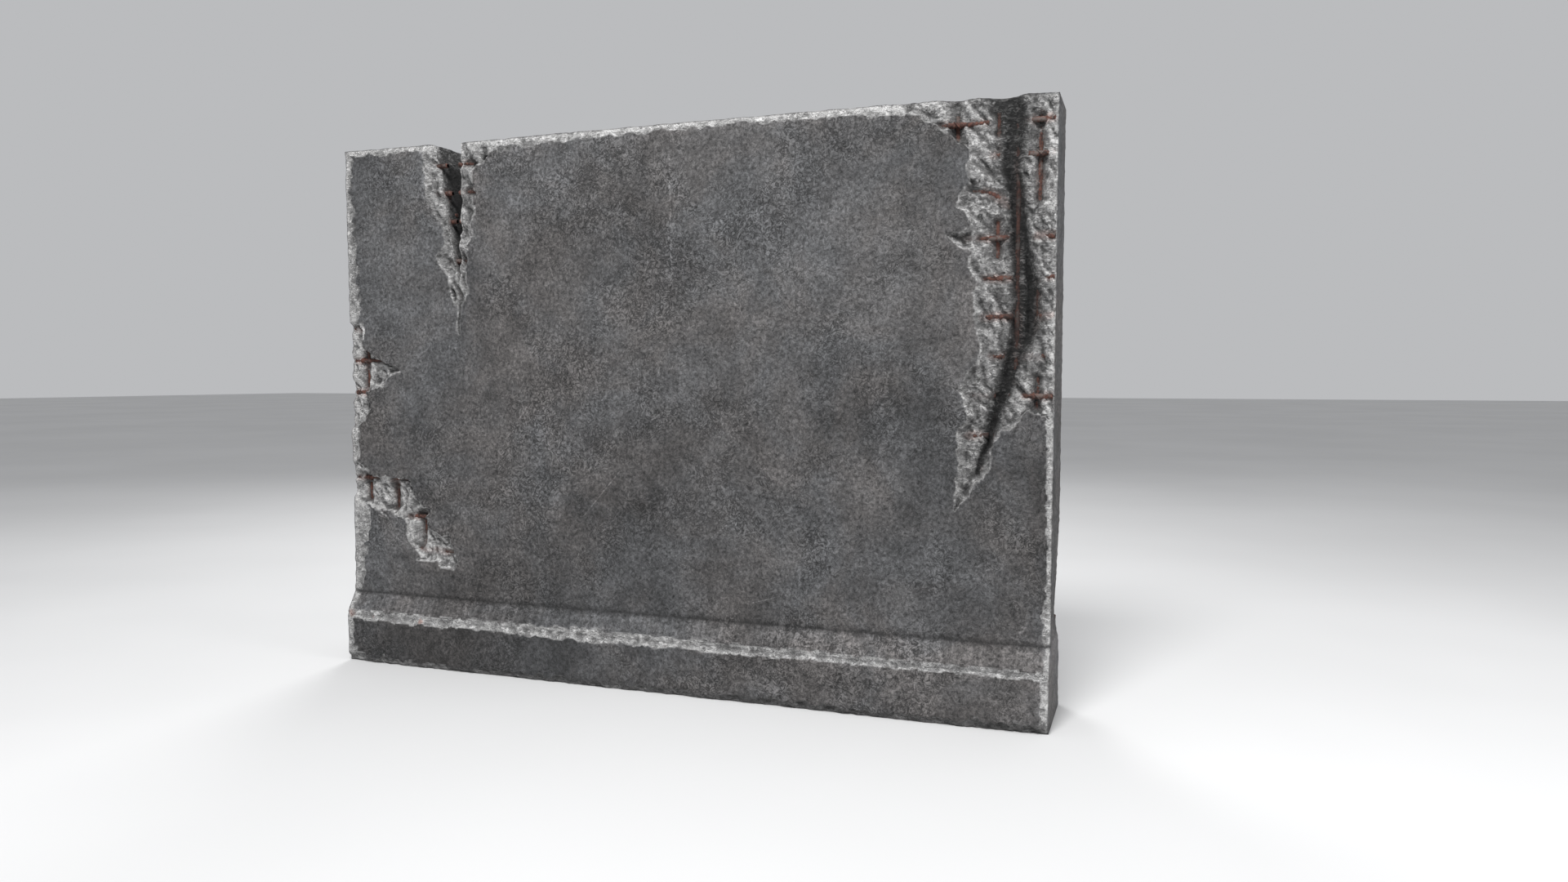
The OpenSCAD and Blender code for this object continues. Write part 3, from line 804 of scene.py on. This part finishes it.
class Graph:
    """A material's node tree, with short calls to add nodes."""

    def __init__(self, name):
        self.material = bpy.data.materials.new(name)
        self.material.use_nodes = True
        self.tree = self.material.node_tree
        self.shader = self.tree.nodes["Principled BSDF"]

    def add(self, kind, inputs=None, **settings):
        node = self.tree.nodes.new("ShaderNode" + kind)
        for key, value in settings.items():
            setattr(node, key, value)
        for key, value in (inputs or {}).items():
            self.put(node.inputs[key], value)
        return node

    def put(self, socket, value):
        """Links a value, or sets it; a colour is given as three numbers."""
        if isinstance(value, bpy.types.NodeSocket):
            self.tree.links.new(value, socket)
        elif socket.type == "RGBA":
            socket.default_value = (*value, 1.0)
        else:
            socket.default_value = value

    def place(self):
        return self.add("TexCoord").outputs["Object"]

    def noise(self, where, scale, detail=4.0, roughness=0.55, warp=0.0):
        inputs = {"Vector": where, "Scale": scale, "Detail": detail, "Roughness": roughness}
        inputs["Distortion"] = warp
        return self.add("TexNoise", inputs).outputs["Fac"]

    def wobble(self, where, scale, reach):
        """A small shift that varies from place to place, in metres."""
        shift = self.add("TexNoise", {"Vector": where, "Scale": scale, "Detail": 3.0}).outputs["Color"]
        return self.scaled(self.vector("SUBTRACT", shift, (0.5, 0.5, 0.5)), reach)

    def vector(self, how, a, b):
        return self.add("VectorMath", {0: a, 1: b}, operation=how).outputs[0]

    def scaled(self, vector, scale):
        return self.add("VectorMath", {0: vector, "Scale": scale}, operation="SCALE").outputs[0]

    def math(self, how, a, b=0.0, c=0.0, clamp=False):
        return self.add("Math", {0: a, 1: b, 2: c}, operation=how, use_clamp=clamp).outputs[0]

    def times(self, a, b):
        return self.math("MULTIPLY", a, b)

    def off_half(self, value):
        """How far a noise is from its middle value."""
        return self.math("ABSOLUTE", self.math("SUBTRACT", value, 0.5))

    def remap(self, value, low, high, to_low=0.0, to_high=1.0, smooth_step=True):
        inputs = {"Value": value, "From Min": low, "From Max": high, "To Min": to_low, "To Max": to_high}
        kind = "SMOOTHSTEP" if smooth_step else "LINEAR"
        return self.add("MapRange", inputs, interpolation_type=kind).outputs["Result"]

    def mix(self, factor, a, b, how="MIX"):
        """Mixes two colours: 0, 6 and 7 are the node's factor and its two colour inputs."""
        return self.add("Mix", {0: factor, 6: a, 7: b}, data_type="RGBA", blend_type=how).outputs[2]

    def layer(self, name):
        """A mark stored on the mesh."""
        return self.add("Attribute", attribute_name=name, attribute_type="GEOMETRY").outputs["Fac"]

    def bump(self, height, distance, strength=1.0, under=None):
        inputs = {"Height": height, "Distance": distance, "Strength": strength}
        if under is not None:
            inputs["Normal"] = under
        return self.add("Bump", inputs).outputs["Normal"]

    def grey(self, value):
        return self.add("CombineColor", {"Red": value, "Green": value, "Blue": value}).outputs[0]

    def finish(self, colour, roughness, normal=None, metallic=0.0):
        self.put(self.shader.inputs["Base Color"], colour)
        self.put(self.shader.inputs["Roughness"], roughness)
        self.put(self.shader.inputs["Metallic"], metallic)
        if normal is not None:
            self.put(self.shader.inputs["Normal"], normal)
        return self.material


def scratches(g, where):
    """Pale scratches on the front: 1 on their lines."""
    wander = g.vector("ADD", where, g.wobble(where, 30.0, 0.004))
    mask = 0.0
    for (x0, z0), (x1, z1), width in SCRATCHES:
        start = Vector((x0 - LENGTH / 2, -WALL, z0)) * MM
        run = Vector((x1 - x0, 0, z1 - z0)) * MM
        away = g.vector("SUBTRACT", wander, start)
        part = g.add("VectorMath", {0: away, 1: run / run.length_squared}, operation="DOT_PRODUCT")
        part = g.math("ADD", part.outputs["Value"], 0.0, clamp=True)
        gap = g.add("VectorMath", {0: away, 1: g.scaled(run, part)}, operation="DISTANCE").outputs["Value"]
        mask = g.math("MAXIMUM", mask, g.remap(gap, 0.0, width * MM, 1.0, 0.0))
    return mask


def stains(g, where):
    """Rust spots on the front, with ragged borders: 1 at their middles."""
    where = g.vector("ADD", where, g.wobble(where, 60.0, 0.012))
    mask = 0.0
    for u, v, radius in STAINS:
        middle = Vector((u - LENGTH / 2, -TOE, v)) * MM
        gap = g.add("VectorMath", {0: where, 1: middle}, operation="DISTANCE").outputs["Value"]
        mask = g.math("MAXIMUM", mask, g.remap(gap, 0.3 * radius * MM, radius * MM, 1.0, 0.0))
    return mask


def sound_skin(g, where, grain, patches, worms, rough_patch):
    """The sound skin: dark and blotched, with warm and cold stains, crackled grain and pale scratches, and
    painted light and shade on the toe and the ledge.
    """
    axes = g.add("SeparateXYZ", {"Vector": where}).outputs
    along, height = axes["X"], axes["Z"]
    blotches = g.noise(where, 3.2, 5.0, 0.62, 0.4)
    tone = g.remap(blotches, 0.32, 0.70, 0.058, 0.103)
    tone = g.math("ADD", tone, g.remap(patches, 0.3, 0.7, -0.022, 0.022))
    tone = g.times(tone, g.remap(grain, 0.34, 0.66, 0.22, 1.78, False))
    crackle = g.times(g.remap(worms, 0.0, 0.035, 1.0, 0.0), g.math("MULTIPLY_ADD", rough_patch, 0.5, 0.28))
    tone = g.times(tone, g.math("SUBTRACT", 1.0, crackle))
    scratch = g.times(scratches(g, where), g.remap(grain, 0.4, 0.6))
    tone = g.math("ADD", tone, g.times(scratch, 0.10))

    # Painted light and shade: the toe's sides are darker toward the left end and lighter toward the right
    # end.
    toe_painted_light = g.remap(along, -0.68, 0.65, -0.34, 0.18)
    on_toe = g.remap(height, 0.092, 0.102, 1.0, 0.0)
    tone = g.times(tone, g.math("MULTIPLY_ADD", on_toe, toe_painted_light, 1.0))

    # The ledge and crest are painted lighter, partly as painted light from above and partly as faint
    # streaking down the slope.
    stretched = g.add("Mapping", {"Vector": where, "Scale": (130.0, 8.0, 8.0)}).outputs["Vector"]
    streaks_and_light = g.remap(g.noise(stretched, 1.0, 3.0, 0.6, 0.3), 0.3, 0.7, 0.0, 0.55)
    on_ledge = g.times(g.remap(height, 0.094, 0.106), g.remap(height, 0.143, 0.148, 1.0, 0.0))
    tone = g.times(tone, g.math("MULTIPLY_ADD", on_ledge, streaks_and_light, 1.0))
    warmth = g.remap(g.noise(where, 5.0, 4.0, 0.6, 0.5), 0.36, 0.66)
    tint = g.mix(warmth, (0.985, 0.995, 1.03), (1.05, 0.985, 0.965))
    return g.mix(1.0, g.grey(tone), tint, "MULTIPLY")


def broken_stone(g, where, patches, folds, leaning, strokes):
    """A broken face: pale stone with dark folds that lean one way, and rust round the bars."""
    height = g.add("SeparateXYZ", {"Vector": where}).outputs["Z"]
    splits = g.off_half(strokes)
    hairs = g.off_half(g.noise(g.scaled(leaning, 2.1), 1.0, 3.0, 0.6, 1.6))
    # Painted shade down the gouge and inside the notch, broken up by the strokes.
    painted_shade = g.times(g.layer("gouge_notch_shade"), g.remap(strokes, 0.42, 0.60, 0.97, 0.76))
    stone = g.remap(folds, 0.34, 0.66, 0.22, 0.41)
    shades = (
        g.remap(splits, 0.0, 0.030, 0.15, 1.0),
        g.remap(hairs, 0.0, 0.030, 0.45, 1.0),
        g.remap(strokes, 0.36, 0.64, 0.60, 1.35, False),
        # Painted shade in the hollows and painted light on the ridges.
        g.remap(g.layer("hollow"), -0.5, 0.6, 1.3, 0.45, False),
        g.remap(g.layer("hollow_wide"), -0.4, 1.4, 1.1, 0.55, False),
        # Paler worn edges, and painted light on the low spalls at the left end.
        g.math("MULTIPLY_ADD", g.layer("wear_and_painted_light"), 0.65, 1.0),
        # Painted shade on stone far under the skin.
        g.remap(g.layer("deep"), 0.0, 0.8, 1.0, 0.14),
        g.math("SUBTRACT", 1.0, painted_shade),
        g.remap(height, 0.012, 0.030, 0.38, 1.0),
    )
    for shade in shades:
        stone = g.times(stone, shade)
    stone = g.math("MINIMUM", stone, 0.62)
    fresh = g.mix(1.0, g.grey(stone), (1.0, 0.99, 0.98), "MULTIPLY")
    rusty = g.times(g.remap(g.layer("near_bar"), 0.62, 1.0, 0.0, 0.6), g.remap(patches, 0.42, 0.62))
    rusty = g.times(g.math("MAXIMUM", rusty, stains(g, where)), 0.7)
    return g.mix(rusty, fresh, g.mix(1.0, fresh, (0.95, 0.55, 0.46), "MULTIPLY"))


def concrete_material():
    g = Graph("weathered_concrete")
    where = g.place()
    broken, crease_shade = g.layer("broken"), g.layer("crease_shade")
    patches = g.noise(where, 13.0, 6.0, 0.68, 0.7)
    grain = g.noise(where, 145.0, 5.0, 0.78, 0.5)
    worms = g.off_half(g.noise(where, 75.0, 4.0, 0.65, 1.5))
    rough_patch = g.remap(g.noise(where, 6.5, 4.0, 0.6, 0.5), 0.46, 0.64)
    folds = g.noise(where, 30.0, 4.0, 0.62, 1.0)
    lean = {"Vector": where, "Rotation": (0.0, 0.65, 0.0), "Scale": (62.0, 90.0, 150.0)}
    leaning = g.add("Mapping", lean).outputs["Vector"]
    strokes = g.noise(leaning, 1.0, 4.0, 0.68, 1.2)

    skin = sound_skin(g, where, grain, patches, worms, rough_patch)
    fresh = broken_stone(g, where, patches, folds, leaning, strokes)
    # Painted shade along the crease where the ledge meets the wall.
    shade = g.math("SUBTRACT", 1.0, g.times(crease_shade, 0.75))
    colour = g.mix(1.0, g.mix(broken, skin, fresh), g.grey(shade), "MULTIPLY")

    crack_depth = g.math("MULTIPLY_ADD", rough_patch, 0.0022, 0.0006)
    normal = g.bump(grain, 0.0006, 0.7)
    normal = g.bump(g.remap(worms, 0.0, 0.05), crack_depth, 0.8, normal)
    normal = g.bump(folds, g.times(broken, 0.008), 1.0, normal)
    normal = g.bump(strokes, g.times(broken, 0.006), 1.0, normal)
    return g.finish(colour, g.remap(grain, 0.2, 0.8, 0.78, 0.95), normal)


def rust_material():
    if "rusty_bar" in bpy.data.materials:
        return bpy.data.materials["rusty_bar"]
    g = Graph("rusty_bar")
    where = g.place()
    scale = g.noise(where, 85.0, 6.0, 0.72, 0.8)
    crust = g.noise(where, 330.0, 4.0, 0.7)
    colour = g.mix(g.remap(scale, 0.40, 0.62), (0.020, 0.009, 0.007), (0.105, 0.040, 0.028))
    colour = g.mix(g.remap(crust, 0.54, 0.70), colour, (0.19, 0.098, 0.076))
    dust = g.remap(g.noise(where, 38.0, 5.0, 0.7, 0.9), 0.52, 0.60)
    colour = g.mix(g.times(dust, 0.75), colour, (0.115, 0.098, 0.090))
    # Painted shade on the bars down the gouge and inside the notch.
    painted_shade = g.math("SUBTRACT", 1.0, g.times(g.layer("gouge_notch_shade"), 0.6))
    colour = g.mix(1.0, colour, g.grey(painted_shade), "MULTIPLY")
    normal = g.bump(crust, 0.0006, 0.9, g.bump(scale, 0.0014, 0.7))
    return g.finish(colour, g.remap(crust, 0.3, 0.7, 0.78, 0.95), normal, 0.05)


def plastic_material():
    g = Graph("spacer_plastic")
    where = g.place()
    dust = g.noise(where, 90.0, 5.0, 0.6)
    colour = g.mix(g.remap(dust, 0.4, 0.7), (0.13, 0.14, 0.15), (0.26, 0.26, 0.25))
    return g.finish(colour, g.remap(dust, 0.3, 0.7, 0.45, 0.75), g.bump(dust, 0.0004, 0.4))


def mortar_material():
    g = Graph("spacer_mortar")
    where = g.place()
    sand = g.noise(where, 260.0, 5.0, 0.7)
    colour = g.mix(g.remap(sand, 0.3, 0.7), (0.20, 0.195, 0.18), (0.38, 0.37, 0.35))
    return g.finish(colour, 0.9, g.bump(sand, 0.0008, 0.7))


def socket_material():
    g = Graph("socket_steel")
    where = g.place()
    stain = g.noise(where, 70.0, 6.0, 0.65, 0.8)
    colour = g.mix(g.remap(stain, 0.45, 0.65), (0.17, 0.165, 0.16), (0.13, 0.060, 0.036))
    return g.finish(colour, g.remap(stain, 0.4, 0.7, 0.62, 0.9), g.bump(stain, 0.0005, 0.5), 0.4)


def dress_cad_nodes():
    """Gives every CAD node but the casting its material."""
    rust = rust_material()
    looks = {
        "spacer_plastic": plastic_material(),
        "spacer_mortar": mortar_material(),
        "socket_steel": socket_material(),
    }
    for entry in frame["record"]["subparts"]:
        node = frame["nodes"][entry["node"]]
        look = looks.get(entry["material_slot"], rust)
        if entry["node"] != "concrete_body":
            node.data.materials.clear()
            node.data.materials.append(look)


# ---------------------------------------------------------------- camera, light and floor


def camera():
    data = bpy.data.cameras.new("camera")
    data.sensor_width, data.lens = 36.0, 24.44
    view = bpy.data.objects.new("camera", data)
    view.location = (0.892, -1.891, 0.600)
    view.rotation_euler = (math.radians(86.57), 0.0, math.radians(19.49))
    bpy.context.scene.collection.objects.link(view)
    bpy.context.scene.camera = view


def area_light(name, place, aim, size, power):
    """A round soft light at a place, turned towards its aim."""
    data = bpy.data.lights.new(name, "AREA")
    data.shape, data.size, data.energy = "DISK", size, power
    light = bpy.data.objects.new(name, data)
    light.location = place
    light.rotation_euler = (Vector(aim) - Vector(place)).to_track_quat("-Z", "Y").to_euler()
    bpy.context.scene.collection.objects.link(light)


def studio():
    scene = bpy.context.scene
    scene.view_settings.view_transform = "Standard"
    world = bpy.data.worlds.new("studio")
    world.use_nodes = True
    sky = world.node_tree.nodes["Background"].inputs
    sky["Color"].default_value = (0.80, 0.81, 0.83, 1.0)
    sky["Strength"].default_value = 0.62
    scene.world = world
    area_light("key", (0.4, -1.9, 3.1), (0, 0, 0.5), 1.0, 120)
    area_light("side", (3.3, -0.5, 1.6), (0.6, 0, 0.5), 1.4, 34)
    area_light("back", (-1.4, 2.6, 2.8), (0, 0, 0.5), 1.6, 60)

    reach = 30.0
    corners = [(-reach, -reach, 0), (reach, -reach, 0), (reach, reach, 0), (-reach, reach, 0)]
    floor = mesh_object("floor", corners, [(0, 1, 2, 3)])
    g = Graph("floor_paint")
    where = g.place()
    cloud = g.noise(where, 0.7, 3.0, 0.5)
    g.finish(g.mix(g.remap(cloud, 0.3, 0.7), (0.60, 0.60, 0.60), (0.64, 0.64, 0.64)), 0.85)
    floor.data.materials.append(g.material)


camera()
studio()
dress_cad_nodes()
concrete()
bars()
